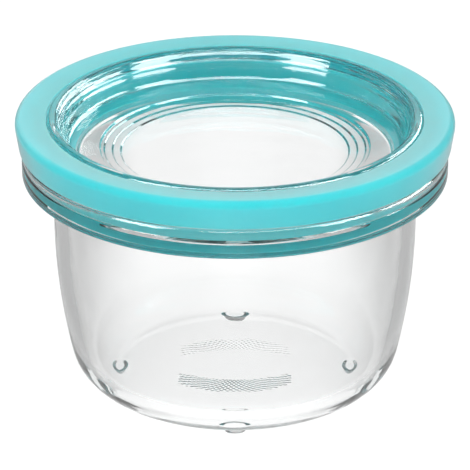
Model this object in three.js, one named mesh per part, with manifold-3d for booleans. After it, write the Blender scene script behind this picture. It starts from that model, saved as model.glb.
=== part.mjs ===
// Small round glass food container: a clear bowl with a thick collar, a dished glass lid, and the
// soft ring that grips the lid and seals it to the collar. Every piece is turned about the Z axis.
// Millimetres, +Z up, standing on z = 0.
import * as THREE from 'three';
import { mergeVertices } from 'three/addons/utils/BufferGeometryUtils.js';
import Module from 'manifold-3d';

// Driving dimensions
const RING_RADIUS = 53; // outside of the ring, the widest part
const RING_TOP = 70.9;
const SEGMENTS = 48; // facets round each turned piece
const GAP = 0.3; // clearance between pieces that touch

// Feet and bowl
const FOOT_HEIGHT = 1.6;
const FOOT_RADIUS = 3.4;
const FOOT_FLAT = 2; // radius of the flat spot that the foot stands on
const FOOT_COUNT = 4;
const WALL_RADIUS = 44; // outside of the wall at its widest
const WALL_CURVE = 153; // radius of the wall's gentle upright curve
const WALL_TILT = 12.8; // degrees by which the wall leans in where the lower corner begins
const WALL_THICK = 3.3;
const CORNER_CURVE = 11.4;
const BASE_THICK = 3.6;
const INNER_TILT = 12.2;

// Collar round the mouth, with the ledge inside it
const COLLAR_RADIUS = 51.5;
const COLLAR_BOTTOM = 55.65;
const COLLAR_TOP = 63.3;
const COLLAR_INNER = 45.6;
const COLLAR_FOOT_ROUND = 1.2; // lower edge of the collar
const COLLAR_ROUND = 2.4; // top of the collar's lower bead
const BEAD_ROUND = 1.4; // rounding of its upper bead
const BEAD_DEPTH = 0.35; // depth of the crease between the two beads
const LEDGE = 57.6;
const NECK_ROUND = 1.2; // between the wall and the collar's flat underside

// Ring
const RING_FOOT_RADIUS = 52.1; // the ring's side leans in a little towards its lower edge
const RING_BOTTOM = COLLAR_TOP + GAP;
const RING_EDGE = 1.6; // rounding of the upper outer edge
const RING_INNER = 45.5;
const RING_INNER_TOP = 70.3;
const GROOVE_RADIUS = 49.5; // groove that holds the lid's flange
const GROOVE_BOTTOM = 66.9;
const GROOVE_TOP = 69.6;
const SKIRT_THICK = 1.4; // thin skirt that hangs inside the collar
const LIP_RADIUS = 39.4; // sealing lip that turns in under the lid
const LIP_THICK = 1;
const LIP_BOTTOM = 54.2; // the lip hangs inside the bowl's mouth

// Lid
const RIM_TOP = 70.6;
const RIM_ROUND = 1.3;
const BEVEL_CURVE = 10; // the rim rolls over into the recess in this wide curve
const BEVEL_TOP_SLOPE = 38; // degrees that its surface faces up, at its top and at its foot
const BEVEL_FOOT_SLOPE = 13;
const BEVEL_RADIUS = 41; // foot of the curve, where the recess wall begins
const BEVEL_BOTTOM = 66.2;
const RECESS_RADIUS = 40.3;
const FLOOR_TOP = 63.4; // lid floor beside the recess wall
const STEP_OUTER = 32.4; // shallow step round the middle of the floor
const STEP_INNER = 26.4;
const STEP_TOP = 62.1;
const MIDDLE_TOP = 61.2;
const RIDGE_COUNT = 3; // fine terraces between the step's edge and the middle
const LID_BOTTOM = 55.1;
const LID_INSET = 38.8; // radius of the part of the lid that reaches down inside the lip

const wasm = await Module();
wasm.setup();

const radians = THREE.MathUtils.degToRad;

// Points of an arc in the half section, angles in degrees from +r towards +z.
function arc(r, z, radius, from, to, steps) {
  const points = [];
  for (let i = 0; i <= steps; i++) {
    const a = radians(from + ((to - from) * i) / steps);
    points.push([r + radius * Math.cos(a), z + radius * Math.sin(a)]);
  }
  return points;
}

// Outline with each corner [r, z, radius] rounded by an arc that touches both of its sides.
function rounded(corners, { closed = false, steps = 3 } = {}) {
  const points = [];
  corners.forEach(([r, z, radius = 0], i) => {
    if (!radius || (!closed && (i === 0 || i === corners.length - 1))) {
      points.push([r, z]);
      return;
    }
    const here = new THREE.Vector2(r, z);
    const before = corners[(i + corners.length - 1) % corners.length];
    const after = corners[(i + 1) % corners.length];
    const back = new THREE.Vector2(before[0], before[1]).sub(here).normalize();
    const on = new THREE.Vector2(after[0], after[1]).sub(here).normalize();
    const half = Math.acos(back.dot(on)) / 2;
    const middle = back.clone().add(on).setLength(radius / Math.sin(half));
    const centre = here.clone().add(middle);
    const reach = radius / Math.tan(half);
    const start = here.clone().addScaledVector(back, reach).sub(centre).angle();
    const end = here.clone().addScaledVector(on, reach).sub(centre).angle();
    const turn = Math.atan2(Math.sin(end - start), Math.cos(end - start));
    for (let k = 0; k <= steps; k++) {
      const a = start + (turn * k) / steps;
      points.push([centre.x + radius * Math.cos(a), centre.y + radius * Math.sin(a)]);
    }
  });
  return points;
}

// Solid of revolution about Z. The outline runs outwards along the bottom and up the outside.
function turned(points, segments = SEGMENTS) {
  const profile = points.map(([r, z]) => new THREE.Vector2(Math.max(r, 0), z));
  return new THREE.LatheGeometry(profile, segments).rotateX(Math.PI / 2);
}

function toSolid(geometry) {
  const bare = geometry.clone();
  bare.deleteAttribute('normal');
  bare.deleteAttribute('uv');
  const merged = mergeVertices(bare, 1e-3);
  const vertProperties = merged.attributes.position.array;
  const triVerts = new Uint32Array(merged.index.array);
  return new wasm.Manifold(new wasm.Mesh({ numProp: 3, vertProperties, triVerts }));
}

function toGeometry(solid) {
  const { vertProperties, triVerts } = solid.getMesh();
  const geometry = new THREE.BufferGeometry();
  geometry.setAttribute('position', new THREE.BufferAttribute(vertProperties, 3));
  geometry.setIndex(new THREE.BufferAttribute(triVerts, 1));
  geometry.computeVertexNormals();
  return geometry;
}

// Outside of the bowl from the middle of the base up to the neck under the collar.
const sinTilt = Math.sin(radians(WALL_TILT));
const cosTilt = Math.cos(radians(WALL_TILT));
const cornerZ = FOOT_HEIGHT + CORNER_CURVE;
const waistZ = cornerZ + (WALL_CURVE - CORNER_CURVE) * sinTilt; // where the wall stands upright
const curveR = WALL_RADIUS - WALL_CURVE; // centre of the wall's curve
const baseFlat = curveR + (WALL_CURVE - CORNER_CURVE) * cosTilt;

function bowlOutside() {
  return [
    [0, FOOT_HEIGHT],
    ...arc(baseFlat, cornerZ, CORNER_CURVE, -90, -WALL_TILT, 8),
    ...arc(curveR, waistZ, WALL_CURVE, -WALL_TILT, 0, 5).slice(1),
  ];
}

// Inside of the bowl from the ledge down to the middle of the floor.
function bowlInside() {
  const inner = WALL_CURVE - WALL_THICK;
  const floorZ = FOOT_HEIGHT + BASE_THICK;
  const sin = Math.sin(radians(INNER_TILT));
  const cos = Math.cos(radians(INNER_TILT));
  const fillet = (waistZ - inner * sin - floorZ) / (1 - sin);
  const floorFlat = curveR + (inner - fillet) * cos;
  return [
    ...arc(curveR, waistZ, inner, 0, -INNER_TILT, 5),
    ...arc(floorFlat, floorZ + fillet, fillet, -INNER_TILT, -90, 7).slice(1),
    [0, floorZ],
  ];
}

// Outside of the collar: the top of its lower bead, the crease, and the upper bead.
function collarBeads() {
  const upper = Math.acos(1 - BEAD_DEPTH / BEAD_ROUND);
  const lower = Math.acos(1 - BEAD_DEPTH / COLLAR_ROUND);
  const upperZ = COLLAR_TOP - BEAD_ROUND;
  const lowerZ = upperZ - BEAD_ROUND * Math.sin(upper) - COLLAR_ROUND * Math.sin(lower);
  const degrees = THREE.MathUtils.radToDeg;
  return [
    ...arc(COLLAR_RADIUS - COLLAR_ROUND, lowerZ, COLLAR_ROUND, 0, degrees(lower), 3),
    ...arc(COLLAR_RADIUS - BEAD_ROUND, upperZ, BEAD_ROUND, -degrees(upper), 90, 6).slice(1),
  ];
}

function bowlGeometry() {
  const under = rounded([
    [WALL_RADIUS, waistZ],
    [WALL_RADIUS, COLLAR_BOTTOM, NECK_ROUND],
    [COLLAR_RADIUS, COLLAR_BOTTOM, COLLAR_FOOT_ROUND],
    [COLLAR_RADIUS, COLLAR_TOP],
  ]).slice(1, -1);
  const top = rounded([
    [COLLAR_RADIUS - BEAD_ROUND, COLLAR_TOP],
    [COLLAR_INNER, COLLAR_TOP, 0.6],
    [COLLAR_INNER, LEDGE, 0.5],
    [WALL_RADIUS - WALL_THICK, LEDGE, 0.8],
    [WALL_RADIUS - WALL_THICK, waistZ],
  ]).slice(1, -1);
  let solid = toSolid(turned([...bowlOutside(), ...under, ...collarBeads(), ...top, ...bowlInside()]));
  const foot = rounded([
    [0, 0],
    [FOOT_FLAT, 0],
    [FOOT_RADIUS, FOOT_HEIGHT * 0.7],
    [FOOT_RADIUS, FOOT_HEIGHT * 2],
    [0, FOOT_HEIGHT * 2],
  ]);
  for (let i = 0; i < FOOT_COUNT; i++) {
    const angle = (i * 2 * Math.PI) / FOOT_COUNT;
    const place = turned(foot, 20);
    place.translate(baseFlat * Math.sin(angle), -baseFlat * Math.cos(angle), 0);
    solid = solid.add(toSolid(place));
  }
  return toGeometry(solid);
}

function ringGeometry() {
  const skirtOuter = COLLAR_INNER - GAP;
  const skirtInner = skirtOuter - SKIRT_THICK;
  const lipBottom = LEDGE + GAP;
  const lean = (RING_RADIUS - RING_FOOT_RADIUS) / (RING_TOP - RING_EDGE - RING_BOTTOM);
  const lipOuter = WALL_RADIUS - WALL_THICK - GAP;
  return turned(close(rounded([
    [LIP_RADIUS, LIP_BOTTOM, 0.4],
    [lipOuter, LIP_BOTTOM, 0.5],
    [lipOuter, lipBottom],
    [skirtOuter, lipBottom, 0.6],
    [skirtOuter, RING_BOTTOM],
    [RING_FOOT_RADIUS, RING_BOTTOM, 0.5],
    [RING_RADIUS + lean * RING_EDGE, RING_TOP, RING_EDGE],
    [RING_INNER, RING_INNER_TOP],
    [RING_INNER, GROOVE_TOP],
    [GROOVE_RADIUS, GROOVE_TOP],
    [GROOVE_RADIUS, GROOVE_BOTTOM],
    [skirtInner, GROOVE_BOTTOM],
    [skirtInner, lipBottom + LIP_THICK],
    [LIP_RADIUS, lipBottom + LIP_THICK, 0.3],
  ], { closed: true })));
}

function close(points) {
  return [...points, points[0]];
}

function lidGeometry() {
  const plug = COLLAR_INNER - GAP * 2 - SKIRT_THICK;
  const bottom = LEDGE + LIP_THICK + GAP * 2;
  const terraces = [];
  const down = (STEP_TOP - MIDDLE_TOP) / RIDGE_COUNT;
  for (let k = 0; k < RIDGE_COUNT; k++) {
    const r = STEP_OUTER + ((STEP_INNER - STEP_OUTER) * (k + 0.5)) / RIDGE_COUNT;
    const z = STEP_TOP - down * k;
    terraces.push([r + 0.35, z - 0.05], [r - 0.05, z - down]);
  }
  const foot = radians(BEVEL_FOOT_SLOPE);
  const top = radians(BEVEL_TOP_SLOPE);
  const bevelR = BEVEL_RADIUS + BEVEL_CURVE * Math.cos(foot);
  const bevelZ = BEVEL_BOTTOM - BEVEL_CURVE * Math.sin(foot);
  const rimR = bevelR - (BEVEL_CURVE - RIM_ROUND) * Math.cos(top);
  return turned(rounded([
    [0, LID_BOTTOM],
    [LID_INSET, LID_BOTTOM, 1],
    [LID_INSET, bottom],
    [plug, bottom, 1.2],
    [plug, GROOVE_BOTTOM + GAP],
    [GROOVE_RADIUS - GAP, GROOVE_BOTTOM + GAP, 0.7],
    [GROOVE_RADIUS - GAP, GROOVE_TOP - GAP, 0.7],
    [RING_INNER - GAP, GROOVE_TOP - GAP],
    [RING_INNER - GAP, RIM_TOP, 0.8],
    ...arc(rimR, RIM_TOP - RIM_ROUND, RIM_ROUND, 90, 180 - BEVEL_TOP_SLOPE, 2),
    ...arc(bevelR, bevelZ, BEVEL_CURVE, 180 - BEVEL_TOP_SLOPE, 180 - BEVEL_FOOT_SLOPE, 3).slice(1),
    [RECESS_RADIUS, FLOOR_TOP, 1.2],
    [STEP_OUTER, STEP_TOP],
    ...terraces,
    [0, MIDDLE_TOP],
  ]));
}

function glass() {
  return new THREE.MeshStandardMaterial({
    color: 0xeef4f2, roughness: 0.05, metalness: 0, transparent: true, opacity: 0.35,
  });
}

function softRing() {
  return new THREE.MeshStandardMaterial({ color: 0x62d2da, roughness: 0.5, metalness: 0 });
}

function named(name, geometry, material) {
  const mesh = new THREE.Mesh(geometry, material);
  mesh.name = name;
  return mesh;
}

const container = new THREE.Group();
container.add(named('bowl', bowlGeometry(), glass()));
container.add(named('sealing_ring', ringGeometry(), softRing()));
container.add(named('lid', lidGeometry(), glass()));

export default container;
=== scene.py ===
"""Looks of a small round glass food container: clear bowl, turquoise sealing ring and clear lid.

Each piece is turned about the Z axis from a rounded half section, finer than its solid, because
glass shows every facet. Sections are in millimetres, and the meshes are in metres.
"""

import math

import bpy
import numpy as np
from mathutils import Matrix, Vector


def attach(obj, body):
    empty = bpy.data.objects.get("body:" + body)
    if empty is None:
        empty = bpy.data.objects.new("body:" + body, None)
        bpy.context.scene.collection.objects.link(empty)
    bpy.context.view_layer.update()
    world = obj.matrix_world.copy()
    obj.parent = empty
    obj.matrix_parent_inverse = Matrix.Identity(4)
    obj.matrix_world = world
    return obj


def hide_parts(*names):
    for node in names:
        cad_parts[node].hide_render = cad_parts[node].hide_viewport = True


MM = 0.001
SEGMENTS = 320  # facets round the ring and round the lid
ARC_STEP = 9.0  # degrees between points of a small rounding
RUN_STEP = 2.4  # longest straight run between two points of a section, mm
SAME_POINT = 1e-5  # points closer than this are one, mm

# Bowl, mm and degrees
BOWL_STEP = 1.8  # between the bowl's facets; at the crescents and the side feet it is half of this
FOOT_HEIGHT = 1.6
FOOT_RADIUS = 3.4
FOOT_FLAT = 2.3  # radius of a foot's flat sole
FOOT_COUNT = 4
FOOT_SQUEEZE = 1.6  # a foot is this many times longer round the base than across it
FOOT_STEP = 0.3  # spacing of the mesh at the feet, across the base
FOOT_TURN = 8  # half the angle of the finer facets at a side foot
UNDERSIDE = 1.5  # the feet take in the glass up to this height above the base
WALL_RADIUS = 44.0
WALL_CURVE = 153.0  # radius of the wall's curve in the section
WALL_TILT = 12.8  # lean of the wall where the lower corner begins
WALL_THICK = 3.3
CORNER_CURVE = 11.4
BASE_THICK = 3.6
INNER_TILT = 12.2  # the same lean on the inside
COLLAR_RADIUS = 51.5
COLLAR_BOTTOM = 55.65
COLLAR_TOP = 63.3
COLLAR_INNER = 45.6
COLLAR_FOOT_ROUND = 1.2  # lower edge of the collar
COLLAR_ROUND = 2.4  # top of the collar's lower bead
COLLAR_INNER_ROUND = 0.6  # its inner top edge
BEAD_ROUND = 1.4  # rounding of its upper bead
BEAD_DEPTH = 0.35  # depth of the crease between the two beads
LEDGE = 57.6
LEDGE_FILLET = 0.5  # between the ledge and the collar's inside
LEDGE_ROUND = 0.8  # edge of the ledge over the wall
NECK_ROUND = 1.2  # between the wall and the collar's flat underside

# Stippled crescents under the base, front and back, mm and degrees
STIPPLE_START = 5.0  # the mesh is finer from this radius
STIPPLE_END = 17.0  # out to this one
STIPPLE_STEP = 0.3  # radial step of the mesh there
STIPPLE_OUTER = 14.5  # distance of a crescent's outer edge from the axis
STIPPLE_OUTER_BOW = 20.0  # radius of that edge
STIPPLE_INNER = 8.2  # the same for the flatter inner edge
STIPPLE_INNER_BOW = 28.0
STIPPLE_HALF = 13.6  # half the length of a crescent
STIPPLE_DEPTH = 0.2
STIPPLE_PITCH = 1.5  # between the rows of dots
STIPPLE_DOTS = 60  # in a full turn of a row
STIPPLE_TURN = 70  # half the angle that a crescent spans
STIPPLE_BACK = 0.3  # depth of the crescent at the back, as a share of the front one's

# Ring, mm
GAP = 0.3  # clearance between the solids
TOUCH = 0.04  # the soft ring wets the glass that it touches, so it sits this far into it
RING_RADIUS = 53.0
RING_TOP = 70.9
RING_FOOT_RADIUS = 52.1
RING_FOOT_ROUND = 0.5
RING_EDGE = 1.6  # rounding of the outer top edge
RING_INNER = 45.5
RING_INNER_TOP = 70.3
RING_INNER_ROUND = 0.15  # thin edge over the lid
RING_FILLET = 0.3  # the ring's edges that nothing else is said of
GROOVE_RADIUS = 49.5
GROOVE_BOTTOM = 66.9
GROOVE_TOP = 69.6
SKIRT_THICK = 1.4
SKIRT_ROUND = 0.6
LIP_SHADE_EDGE = 44.0  # the ring inside this radius is the sealing lip, coloured deeper as painted shade
LIP_THICK = 1.0
LIP_BOTTOM = 54.2  # the sealing lip hangs inside the bowl's mouth
LIP_OUTER_ROUND = 0.5
LIP_INNER_ROUND = 0.4

# Lid, mm and degrees
RIM_TOP = 70.6
RIM_ROUND = 1.3
RIM_OUTER_ROUND = 0.8
BEVEL_CURVE = 10.0  # the rim rolls over into the recess in this wide curve
BEVEL_TOP_SLOPE = 38.0  # how far its surface faces up, at its top and at its foot
BEVEL_FOOT_SLOPE = 13.0
BEVEL_RADIUS = 41.0  # foot of the curve, where the recess wall begins
BEVEL_BOTTOM = 66.2
RIM_RIDGES = 3  # soft ridges in that curve
RIM_RIDGE_DEPTH = 0.05
RIM_RIDGE_POINTS = 12  # points of the section in each ridge
RECESS_RADIUS = 40.3
RECESS_ROUND = 1.6
FLOOR_TOP = 63.4  # the recess floor slopes from here down to the step
STEP_OUTER = 32.4
STEP_INNER = 26.4
STEP_TOP = 62.1
STEP_RISE = 0.6  # height of the riser at the step's edge
STEP_LEAN = 0.3  # and how far it leans out
STEP_ROUND = 0.25
MIDDLE_TOP = 61.2
TERRACE_COUNT = 3  # fine terraces between the step's edge and the middle
TERRACE_EDGE = 0.35  # top of a terrace's riser, outwards from its place
TERRACE_FOOT = 0.05  # foot of the riser, inwards from its place
TERRACE_FALL = 0.05  # fall of the tread towards the riser
TERRACE_ROUND = 0.2
FLANGE_ROUND = 0.7  # edges of the flange in the ring's groove
FLANGE_FILLET = 0.4
PLUG_ROUND = 1.2  # lower edge of the lid inside the ring's skirt
LID_BOTTOM = 55.1
LID_INSET = 38.8  # radius of the part of the lid that reaches down inside the lip
LID_FOOT_ROUND = 1.0
LID_FILLET = 0.3

# Materials
WHITE = (1, 1, 1, 1)
GLASS_TINT = (0.55, 0.67, 0.65, 1)
RING_DARK = (0.08, 0.80, 0.88, 1)
RING_LIGHT = (0.09, 0.84, 0.92, 1)
# painted shade: the lip's deeper turquoise stands in for the shade between the glass pieces
LIP_PAINTED_SHADE = (0.01, 0.64, 0.69, 1)
FLOOR_COLOUR = (0.12, 0.12, 0.12, 1)
MIX_FACTOR = 0  # sockets of a mix node that mixes colours
MIX_FIRST = 6
MIX_SECOND = 7
MIX_RESULT = 2

# Camera, from the fit to the photograph
IMAGE_SIZE = 470
VIEW_ELEVATION = 22.64  # degrees above level, seen from the middle of the ring's top
VIEW_DISTANCE = 17 * RING_RADIUS * MM
FOCAL_PIXELS = 3745.0
AIM_BELOW = 1.864  # degrees by which the camera aims below the ring's top
SENSOR = 36.0
CLIP_END = 20

# Floor and surround, m
FLOOR_HALF = 3.0
FLOOR_LEVEL = -0.0002
POOL_BEHIND = 0.33  # middle of the bright part of the floor, behind the object
POOL_HALF_WIDTH = 0.042
POOL_HALF_LENGTH = 0.45
POOL_FADE = (0.8, 1.6)  # start and end of its soft edge, as shares of its half sizes
POOL_GLOW = (1.0, 0.42)  # in it and round it
FLOOR_SEEN = 1.0  # glow of the floor that the camera sees directly
BRIGHT_SIDE = (0, 0.75, 0.66)  # the bright part of the surround is behind and overhead
SKY_FADE = (0.1, 0.6)  # the surround brightens between these cosines of the angle to that side
SKY_GLOW = (0.8, 3.0)  # on the camera's side and on the bright side

# Light: azimuth and elevation in degrees, distance, width and height in m, power in W.
# Azimuth 0 is the camera's side, positive to the right.
LIGHT_TARGET = (0, 0, 0.05)
FILL_LIGHTS = {
    "soft_left": (-52, 32, 1.2, 0.6, 0.8, 7.0),
    "soft_right": (60, 32, 1.2, 0.6, 0.8, 7.0),
    "soft_top": (20, 72, 1.2, 0.8, 0.6, 4.0),
}
GLASS_CARDS = {
    "card_left": (-52, 29, 1.1, 0.54, 0.8, 20.0),
    "card_right": (60, 29, 1.1, 0.54, 0.8, 20.0),
    "card_side": (102, 15, 1.05, 0.75, 0.45, 16.0),
    "card_front": (12, 44, 1.0, 0.9, 0.12, 6.0),
    "card_top": (5, 72, 0.95, 2.0, 0.45, 40.0),
}
LID_CARDS = {
    "card_rear": (142, 24, 1.0, 0.6, 0.6, 10.0),
    "card_middle": (180, 22, 1.3, 0.5, 0.3, 0.36),
}
RING_CARDS = {
    "card_back": (-168, 23, 1.2, 1.2, 0.7, 2.8),
}
BOUNCES = 32  # light passes many glass surfaces
GLOSSY_BOUNCES = 16


# Turned meshes
def arc(r, z, radius, start, end, step=RUN_STEP):
    """Points of an arc in the half section, angles in degrees from +r towards +z."""
    length = abs(math.radians(end - start)) * radius
    steps = max(int(abs(end - start) / ARC_STEP), int(length / step), 2)
    angles = np.radians(np.linspace(start, end, steps + 1))
    return [(r + radius * math.cos(a), z + radius * math.sin(a)) for a in angles]


def corner(before, here, after, radius):
    """Arc that touches both sides of a corner."""
    here = np.array(here, float)
    back = np.array(before, float) - here
    on = np.array(after, float) - here
    back /= np.linalg.norm(back)
    on /= np.linalg.norm(on)
    half = math.acos(max(-1.0, min(1.0, float(back @ on)))) / 2
    middle = back + on
    centre = here + middle / np.linalg.norm(middle) * radius / math.sin(half)
    reach = radius / math.tan(half)
    first = here + back * reach - centre
    last = here + on * reach - centre
    start = math.degrees(math.atan2(first[1], first[0]))
    turn = math.degrees(math.atan2(last[1], last[0])) - start
    turn = (turn + 180) % 360 - 180
    return arc(centre[0], centre[1], radius, start, start + turn)


def rounded(corners, closed=False):
    """Section outline from corners (r, z) or (r, z, radius)."""
    points = []
    count = len(corners)
    for i, item in enumerate(corners):
        inside = closed or 0 < i < count - 1
        if len(item) == 3 and inside:
            before = corners[i - 1][:2]
            after = corners[(i + 1) % count][:2]
            points += corner(before, item[:2], after, item[2])
        else:
            points.append(tuple(item[:2]))
    return points


def refined(points, closed=False):
    """The outline with long straight runs divided, and repeated points dropped."""
    out = []
    ends = points[1:] + points[:1] if closed else points[1:]
    for a, b in zip(points, ends):
        length = math.dist(a, b)
        if length < SAME_POINT:
            continue
        pieces = max(1, math.ceil(length / RUN_STEP))
        for k in range(pieces):
            t = k / pieces
            out.append((a[0] + (b[0] - a[0]) * t, a[1] + (b[1] - a[1]) * t))
    if not closed:
        out.append(points[-1])
    return out


def even_angles():
    return np.linspace(0, 2 * math.pi, SEGMENTS, endpoint=False)


def turned(name, section, angles, closed=False, shape=None):
    """Mesh object turned about Z, with angles from the front.

    The section runs out along the bottom and up the outside. The function shape, where there is
    one, moves the points before they are scaled.
    """
    profile = np.array(refined(section, closed))
    on_axis = profile[:, 0] < SAME_POINT
    count = len(angles)
    points = []
    index = np.zeros((len(profile), count), int)
    for i, (r, z) in enumerate(profile):
        if on_axis[i]:
            index[i] = len(points)
            points.append((0.0, 0.0, z))
            continue
        index[i] = len(points) + np.arange(count)
        points += [(r * math.sin(a), -r * math.cos(a), z) for a in angles]
    points = np.array(points)
    if shape:
        shape(points)
    faces = []
    rows = len(profile)
    for i in range(rows if closed else rows - 1):
        low = index[i]
        high = index[(i + 1) % rows]
        for k in range(count):
            n = (k + 1) % count
            ring = [low[k], low[n], high[n], high[k]]
            face = list(dict.fromkeys(ring))
            if len(face) > 2:
                faces.append(face)
    mesh = bpy.data.meshes.new(name)
    mesh.from_pydata((points * MM).tolist(), [], faces)
    mesh.shade_smooth()
    mesh.validate()
    return linked(name, mesh)


def linked(name, data):
    """New object in the scene."""
    thing = bpy.data.objects.new(name, data)
    bpy.context.scene.collection.objects.link(thing)
    return thing


# Bowl
def collar_beads():
    """Outside of the collar: the top of its lower bead, the crease, and the upper bead."""
    upper = math.degrees(math.acos(1 - BEAD_DEPTH / BEAD_ROUND))
    lower = math.degrees(math.acos(1 - BEAD_DEPTH / COLLAR_ROUND))
    upper_z = COLLAR_TOP - BEAD_ROUND
    crease_z = upper_z - BEAD_ROUND * math.sin(math.radians(upper))
    lower_z = crease_z - COLLAR_ROUND * math.sin(math.radians(lower))
    points = arc(COLLAR_RADIUS - COLLAR_ROUND, lower_z, COLLAR_ROUND, 0, lower)
    return points + arc(COLLAR_RADIUS - BEAD_ROUND, upper_z, BEAD_ROUND, -upper, 90)[1:]


def bowl_section():
    """Half section of the bowl, and the radius at which its flat base ends."""
    tilt = math.radians(WALL_TILT)
    inner_tilt = math.radians(INNER_TILT)
    corner_z = FOOT_HEIGHT + CORNER_CURVE
    waist_z = corner_z + (WALL_CURVE - CORNER_CURVE) * math.sin(tilt)
    curve_r = WALL_RADIUS - WALL_CURVE
    base_flat = curve_r + (WALL_CURVE - CORNER_CURVE) * math.cos(tilt)
    inner = WALL_CURVE - WALL_THICK
    floor_z = FOOT_HEIGHT + BASE_THICK
    drop = waist_z - inner * math.sin(inner_tilt) - floor_z
    fillet = drop / (1 - math.sin(inner_tilt))
    floor_flat = curve_r + (inner - fillet) * math.cos(inner_tilt)
    outside = [(0.0, FOOT_HEIGHT)]
    outside += [(r, FOOT_HEIGHT) for r in np.arange(STIPPLE_START, STIPPLE_END, STIPPLE_STEP)]
    outside += [(r, FOOT_HEIGHT) for r in np.arange(base_flat - FOOT_RADIUS, base_flat, FOOT_STEP)]
    foot_turn = math.degrees(FOOT_RADIUS / CORNER_CURVE) - 90
    outside += arc(base_flat, corner_z, CORNER_CURVE, -90, foot_turn, FOOT_STEP)
    outside += arc(base_flat, corner_z, CORNER_CURVE, foot_turn, -WALL_TILT)
    outside += arc(curve_r, waist_z, WALL_CURVE, -WALL_TILT, 0)
    mouth = rounded([
        outside[-1],
        (WALL_RADIUS, COLLAR_BOTTOM, NECK_ROUND),
        (COLLAR_RADIUS, COLLAR_BOTTOM, COLLAR_FOOT_ROUND),
        (COLLAR_RADIUS, COLLAR_TOP),
    ])[:-1]
    mouth += collar_beads()
    mouth += rounded([
        mouth[-1],
        (COLLAR_INNER, COLLAR_TOP, COLLAR_INNER_ROUND),
        (COLLAR_INNER, LEDGE, LEDGE_FILLET),
        (WALL_RADIUS - WALL_THICK, LEDGE, LEDGE_ROUND),
        (WALL_RADIUS - WALL_THICK, waist_z),
    ])[1:]
    inside = arc(curve_r, waist_z, inner, 0, -INNER_TILT)
    inside += arc(floor_flat, floor_z + fillet, fillet, -INNER_TILT, -90)
    inside.append((0.0, floor_z))
    return outside + mouth + inside, base_flat


def press_feet(points, under, base_flat):
    """Presses the feet out of the underside, down to the floor."""
    for k in range(FOOT_COUNT):
        a = 2 * math.pi * k / FOOT_COUNT
        across = points[:, 0] * math.sin(a) - points[:, 1] * math.cos(a) - base_flat
        along = points[:, 0] * math.cos(a) + points[:, 1] * math.sin(a)
        away = np.hypot(across * FOOT_SQUEEZE, along)
        t = np.clip((away - FOOT_FLAT) / (FOOT_RADIUS - FOOT_FLAT), 0, 1)
        dome = 0.5 + 0.5 * np.cos(math.pi * t)
        points[:, 2] -= np.where(under, dome * points[:, 2], 0)


def press_stipple(points, under):
    """Presses the rows of dots of the two crescents into the underside."""
    r = np.hypot(points[:, 0], points[:, 1])
    x = np.abs(points[:, 0])
    y = np.abs(points[:, 1])
    inner = STIPPLE_INNER - x**2 / (2 * STIPPLE_INNER_BOW)
    outer = STIPPLE_OUTER - x**2 / (2 * STIPPLE_OUTER_BOW)
    patch = under & (y > inner) & (y < outer) & (x < STIPPLE_HALF)
    row = np.sin(r / STIPPLE_PITCH * 2 * math.pi)
    dot = np.sin(np.arctan2(points[:, 1], points[:, 0]) * STIPPLE_DOTS)
    depth = np.where(points[:, 1] < 0, STIPPLE_DEPTH, STIPPLE_DEPTH * STIPPLE_BACK)
    points[:, 2] += np.where(patch, depth * row * dot, 0)


def bowl_angles():
    """Angles of the bowl's facets, closer together at the crescents and at the side feet."""
    degrees = np.arange(0, 360, BOWL_STEP / 2)
    keep = np.arange(len(degrees)) % 2 == 0
    for middle, half in ((0, STIPPLE_TURN), (90, FOOT_TURN), (180, STIPPLE_TURN), (270, FOOT_TURN)):
        keep |= np.abs((degrees - middle + 180) % 360 - 180) < half
    return np.radians(degrees[keep])


def make_bowl():
    section, base_flat = bowl_section()

    def shape(points):
        under = points[:, 2] < FOOT_HEIGHT + UNDERSIDE
        press_feet(points, under, base_flat)
        press_stipple(points, under)

    return turned("bowl_glass", section, bowl_angles(), shape=shape)


# Ring
def make_ring():
    skirt_outer = COLLAR_INNER - GAP
    skirt_inner = skirt_outer - SKIRT_THICK
    lip_bottom = LEDGE - TOUCH
    lip_top = LEDGE + LIP_THICK + GAP * 2 + TOUCH
    lip_inner = LID_INSET - TOUCH
    lip_outer = WALL_RADIUS - WALL_THICK + TOUCH
    foot_z = COLLAR_TOP + GAP
    lean = (RING_RADIUS - RING_FOOT_RADIUS) / (RING_TOP - RING_EDGE - COLLAR_TOP - GAP)
    section = rounded([
        (lip_inner, LIP_BOTTOM, LIP_INNER_ROUND),
        (lip_outer, LIP_BOTTOM, LIP_OUTER_ROUND),
        (lip_outer, lip_bottom, RING_FILLET),
        (skirt_outer, lip_bottom, SKIRT_ROUND),
        (skirt_outer, foot_z, RING_FILLET),
        (RING_FOOT_RADIUS, foot_z, RING_FOOT_ROUND),
        (RING_RADIUS + lean * RING_EDGE, RING_TOP, RING_EDGE),
        (RING_INNER, RING_INNER_TOP, RING_INNER_ROUND),
        (RING_INNER, GROOVE_TOP, RING_INNER_ROUND),
        (GROOVE_RADIUS, GROOVE_TOP, RING_FILLET),
        (GROOVE_RADIUS, GROOVE_BOTTOM, RING_FILLET),
        (skirt_inner, GROOVE_BOTTOM, RING_FILLET),
        (skirt_inner, lip_top, RING_FILLET),
        (lip_inner, lip_top, RING_FILLET),
    ], closed=True)
    return turned("ring_soft", section, even_angles(), closed=True)


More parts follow.
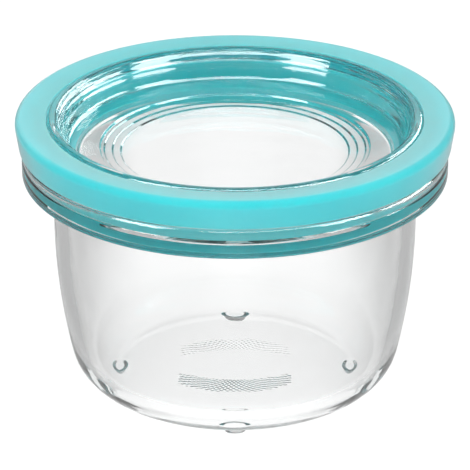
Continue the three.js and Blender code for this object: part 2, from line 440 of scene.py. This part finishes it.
# Lid
def lid_rim():
    """Rim of the lid: the rounding at its top, then the ridged curve down into the recess."""
    foot = math.radians(BEVEL_FOOT_SLOPE)
    top = math.radians(BEVEL_TOP_SLOPE)
    bevel_r = BEVEL_RADIUS + BEVEL_CURVE * math.cos(foot)
    bevel_z = BEVEL_BOTTOM - BEVEL_CURVE * math.sin(foot)
    rim_r = bevel_r - (BEVEL_CURVE - RIM_ROUND) * math.cos(top)
    points = arc(rim_r, RIM_TOP - RIM_ROUND, RIM_ROUND, 90, 180 - BEVEL_TOP_SLOPE)
    for t in np.linspace(0, 1, RIM_RIDGES * RIM_RIDGE_POINTS + 1):
        a = math.radians(180 - BEVEL_TOP_SLOPE + (BEVEL_TOP_SLOPE - BEVEL_FOOT_SLOPE) * t)
        radius = BEVEL_CURVE - RIM_RIDGE_DEPTH * math.sin(2 * math.pi * RIM_RIDGES * t)
        points.append((bevel_r + radius * math.cos(a), bevel_z + radius * math.sin(a)))
    return points


def lid_terraces():
    """Corners of the terraces between the step's edge and the middle of the lid."""
    down = (STEP_TOP - MIDDLE_TOP) / TERRACE_COUNT
    corners = []
    for k in range(TERRACE_COUNT):
        r = STEP_OUTER + (STEP_INNER - STEP_OUTER) * (k + 0.5) / TERRACE_COUNT
        z = STEP_TOP - down * k
        corners.append((r + TERRACE_EDGE, z - TERRACE_FALL, TERRACE_ROUND))
        corners.append((r - TERRACE_FOOT, z - down, TERRACE_ROUND))
    return corners


def make_lid():
    plug = COLLAR_INNER - GAP * 2 - SKIRT_THICK
    bottom = LEDGE + LIP_THICK + GAP * 2
    section = rounded([
        (0.0, LID_BOTTOM),
        (LID_INSET, LID_BOTTOM, LID_FOOT_ROUND),
        (LID_INSET, bottom, LID_FILLET),
        (plug, bottom, PLUG_ROUND),
        (plug, GROOVE_BOTTOM + GAP, FLANGE_FILLET),
        (GROOVE_RADIUS - GAP, GROOVE_BOTTOM + GAP, FLANGE_ROUND),
        (GROOVE_RADIUS - GAP, GROOVE_TOP - GAP, FLANGE_ROUND),
        (RING_INNER - GAP, GROOVE_TOP - GAP, LID_FILLET),
        (RING_INNER - GAP, RIM_TOP, RIM_OUTER_ROUND),
        *lid_rim(),
        (RECESS_RADIUS, FLOOR_TOP, RECESS_ROUND),
        (STEP_OUTER + STEP_LEAN, STEP_TOP + STEP_RISE, STEP_ROUND),
        (STEP_OUTER, STEP_TOP, STEP_ROUND),
        *lid_terraces(),
        (0.0, MIDDLE_TOP),
    ])
    return turned("lid_glass", section, even_angles())


# Nodes
def add_node(tree, kind, values):
    """New node with these values on its sockets."""
    node = tree.nodes.new(kind)
    set_values(node, values)
    return node


def set_values(node, values):
    for socket, value in values.items():
        node.inputs[socket].default_value = value


def add_noise(tree, place, scale, detail):
    """Noise in the object's own coordinates."""
    noise = add_node(tree, "ShaderNodeTexNoise", {"Scale": scale, "Detail": detail})
    tree.links.new(place.outputs["Object"], noise.inputs["Vector"])
    return noise.outputs["Fac"]


def add_bump(tree, shader, height, strength, distance):
    """Relief in the shading of a material."""
    bump = add_node(tree, "ShaderNodeBump", {"Strength": strength, "Distance": distance})
    tree.links.new(height, bump.inputs["Height"])
    tree.links.new(bump.outputs["Normal"], shader.inputs["Normal"])


def add_vector_maths(tree, operation, vector, other=None):
    node = tree.nodes.new("ShaderNodeVectorMath")
    node.operation = operation
    tree.links.new(vector, node.inputs[0])
    if other:
        node.inputs[1].default_value = other
    return node


def add_fade(tree, value, span, ends):
    """Soft change from the first of the ends to the second while the value crosses the span."""
    fade = add_node(tree, "ShaderNodeMapRange", {
        "From Min": span[0],
        "From Max": span[1],
        "To Min": ends[0],
        "To Max": ends[1],
    })
    fade.interpolation_type = "SMOOTHSTEP"
    tree.links.new(value, fade.inputs["Value"])
    return fade.outputs["Result"]


# Materials
def new_material(name):
    """Material, its node tree, its shader and a node with the object's coordinates."""
    material = bpy.data.materials.new(name)
    material.use_nodes = True
    tree = material.node_tree
    return material, tree, tree.nodes["Principled BSDF"], tree.nodes.new("ShaderNodeTexCoord")


def glass_material(name):
    """Clear pressed glass: faintly green through its thickness, with slight waves in its surface."""
    material, tree, shader, place = new_material(name)
    set_values(shader, {
        "Base Color": WHITE,
        "Roughness": 0.0,
        "IOR": 1.52,
        "Transmission Weight": 1.0,
    })
    waves = add_noise(tree, place, scale=90.0, detail=1.0)
    add_bump(tree, shader, waves, strength=0.05, distance=0.001)
    tint = add_node(tree, "ShaderNodeVolumeAbsorption", {"Color": GLASS_TINT, "Density": 6.0})
    tree.links.new(tint.outputs["Volume"], tree.nodes["Material Output"].inputs["Volume"])
    return material


def ring_material(name):
    """Frosted soft plastic: turquoise, a little translucent, with a fine matt grain.

    The sealing lip between the glass pieces is coloured a deeper tone: painted shade for the shade it
    sits in between them.
    """
    material, tree, shader, place = new_material(name)
    links = tree.links
    ramp = tree.nodes.new("ShaderNodeValToRGB")
    for element, position, colour in zip(ramp.color_ramp.elements, (0.3, 0.7), (RING_DARK, RING_LIGHT)):
        element.position = position
        element.color = colour
    links.new(add_noise(tree, place, scale=60.0, detail=3.0), ramp.inputs["Fac"])
    flat = add_vector_maths(tree, "MULTIPLY", place.outputs["Object"], (1, 1, 0))
    radius = add_vector_maths(tree, "LENGTH", flat.outputs["Vector"])
    # painted shade: mask of the ring inside the lip's radius, which takes the deeper lip colour
    inside = tree.nodes.new("ShaderNodeMath")
    inside.operation = "LESS_THAN"
    inside.inputs[1].default_value = LIP_SHADE_EDGE * MM
    links.new(radius.outputs["Value"], inside.inputs[0])
    # mixes the painted shade of the lip into the ring's own turquoise
    lip_shade_blend = tree.nodes.new("ShaderNodeMix")
    lip_shade_blend.data_type = "RGBA"
    lip_shade_blend.inputs[MIX_SECOND].default_value = LIP_PAINTED_SHADE
    links.new(inside.outputs["Value"], lip_shade_blend.inputs[MIX_FACTOR])
    links.new(ramp.outputs["Color"], lip_shade_blend.inputs[MIX_FIRST])
    links.new(lip_shade_blend.outputs[MIX_RESULT], shader.inputs["Base Color"])
    set_values(shader, {
        "Roughness": 0.33,
        "IOR": 1.5,
        "Specular IOR Level": 0.9,
        "Sheen Weight": 1.0,
        "Sheen Roughness": 0.4,
        "Subsurface Weight": 0.85,
        "Subsurface Radius": (0.2, 1.0, 1.0),
        "Subsurface Scale": 0.004,
    })
    grain = add_noise(tree, place, scale=2600.0, detail=2.0)
    add_bump(tree, shader, grain, strength=0.12, distance=0.0002)
    return material


def floor_material():
    """Pale floor: the camera sees it white, and the glass sees a bright pool that fades to grey."""
    material, tree, shader, place = new_material("pale_floor")
    links = tree.links
    pool = add_node(tree, "ShaderNodeMapping", {
        "Location": (0, POOL_BEHIND, 0),
        "Scale": (POOL_HALF_WIDTH, POOL_HALF_LENGTH, 1),
    })
    pool.vector_type = "TEXTURE"
    links.new(place.outputs["Object"], pool.inputs["Vector"])
    away = add_vector_maths(tree, "LENGTH", pool.outputs["Vector"])
    glow = add_fade(tree, away.outputs["Value"], POOL_FADE, POOL_GLOW)
    set_values(shader, {"Base Color": FLOOR_COLOUR, "Roughness": 0.9, "Emission Color": WHITE})
    path = tree.nodes.new("ShaderNodeLightPath")
    seen = add_node(tree, "ShaderNodeMix", {"B": FLOOR_SEEN})
    links.new(path.outputs["Is Camera Ray"], seen.inputs["Factor"])
    links.new(glow, seen.inputs["A"])
    links.new(seen.outputs["Result"], shader.inputs["Emission Strength"])
    return material


# Stage
def make_floor():
    half = FLOOR_HALF
    mesh = bpy.data.meshes.new("floor")
    corners = [(-half, -half, 0), (half, -half, 0), (half, half, 0), (-half, half, 0)]
    mesh.from_pydata(corners, [], [(0, 1, 2, 3)])
    mesh.materials.append(floor_material())
    floor = linked("floor", mesh)
    floor.location.z = FLOOR_LEVEL


def softbox(name, azimuth, elevation, distance, width, height, power, shown_in):
    """Area light that faces the object.

    With pieces named, it is a card that shows only in their reflections. The other lights fill,
    and show in no reflection.
    """
    data = bpy.data.lights.new(name, "AREA")
    data.shape = "RECTANGLE"
    data.size = width
    data.size_y = height
    data.energy = power
    lamp = linked(name, data)
    a = math.radians(azimuth)
    e = math.radians(elevation)
    away = Vector((math.sin(a) * math.cos(e), -math.cos(a) * math.cos(e), math.sin(e)))
    lamp.location = Vector(LIGHT_TARGET) + away * distance
    lamp.rotation_mode = "QUATERNION"
    lamp.rotation_quaternion = away.to_track_quat("Z", "Y")
    lamp.visible_camera = False
    lamp.visible_diffuse = not shown_in
    lamp.visible_glossy = bool(shown_in)
    lamp.visible_transmission = False
    if shown_in:
        lit = bpy.data.collections.new(name)
        for piece in shown_in:
            lit.objects.link(piece)
        lamp.light_linking.receiver_collection = lit


def make_lights(bowl, ring, lid):
    groups = (
        (FILL_LIGHTS, ()),
        (GLASS_CARDS, (bowl, lid)),
        (LID_CARDS, (lid,)),
        (RING_CARDS, (ring,)),
    )
    for lights, pieces in groups:
        for name, values in lights.items():
            softbox(name, *values, pieces)


def make_sky():
    """Soft surround: white behind the object and over it, dim on the camera's side."""
    world = bpy.data.worlds.new("studio")
    world.use_nodes = True
    bpy.context.scene.world = world
    tree = world.node_tree
    place = tree.nodes.new("ShaderNodeTexCoord")
    side = add_vector_maths(tree, "DOT_PRODUCT", place.outputs["Generated"], BRIGHT_SIDE)
    glow = add_fade(tree, side.outputs["Value"], SKY_FADE, SKY_GLOW)
    tree.links.new(glow, tree.nodes["Background"].inputs["Strength"])


def make_camera():
    data = bpy.data.cameras.new("camera")
    data.sensor_width = SENSOR
    data.lens = FOCAL_PIXELS / IMAGE_SIZE * SENSOR
    data.clip_end = CLIP_END
    camera = linked("camera", data)
    e = math.radians(VIEW_ELEVATION)
    camera.location = (0, -VIEW_DISTANCE * math.cos(e), RING_TOP * MM + VIEW_DISTANCE * math.sin(e))
    camera.rotation_euler = (math.radians(90 - VIEW_ELEVATION - AIM_BELOW), 0, 0)
    bpy.context.scene.camera = camera


def dress(piece, node, material):
    """Gives a piece its material and puts it in the place of its solid."""
    piece.data.materials.append(material)
    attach(piece, "root")
    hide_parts(node)


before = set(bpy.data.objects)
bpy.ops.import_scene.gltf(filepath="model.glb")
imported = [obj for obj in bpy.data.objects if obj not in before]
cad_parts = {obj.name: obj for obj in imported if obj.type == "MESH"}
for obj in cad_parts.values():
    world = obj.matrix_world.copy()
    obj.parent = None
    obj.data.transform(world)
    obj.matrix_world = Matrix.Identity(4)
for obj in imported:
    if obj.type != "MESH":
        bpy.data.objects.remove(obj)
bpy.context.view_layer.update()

bowl = make_bowl()
ring = make_ring()
lid = make_lid()
dress(bowl, "bowl", glass_material("clear_glass"))
dress(ring, "sealing_ring", ring_material("soft_ring"))
dress(lid, "lid", glass_material("lid_glass"))

make_floor()
make_lights(bowl, ring, lid)
make_sky()
make_camera()

scene = bpy.context.scene
scene.view_settings.view_transform = "Standard"
scene.cycles.max_bounces = BOUNCES
scene.cycles.transmission_bounces = BOUNCES
scene.cycles.glossy_bounces = GLOSSY_BOUNCES
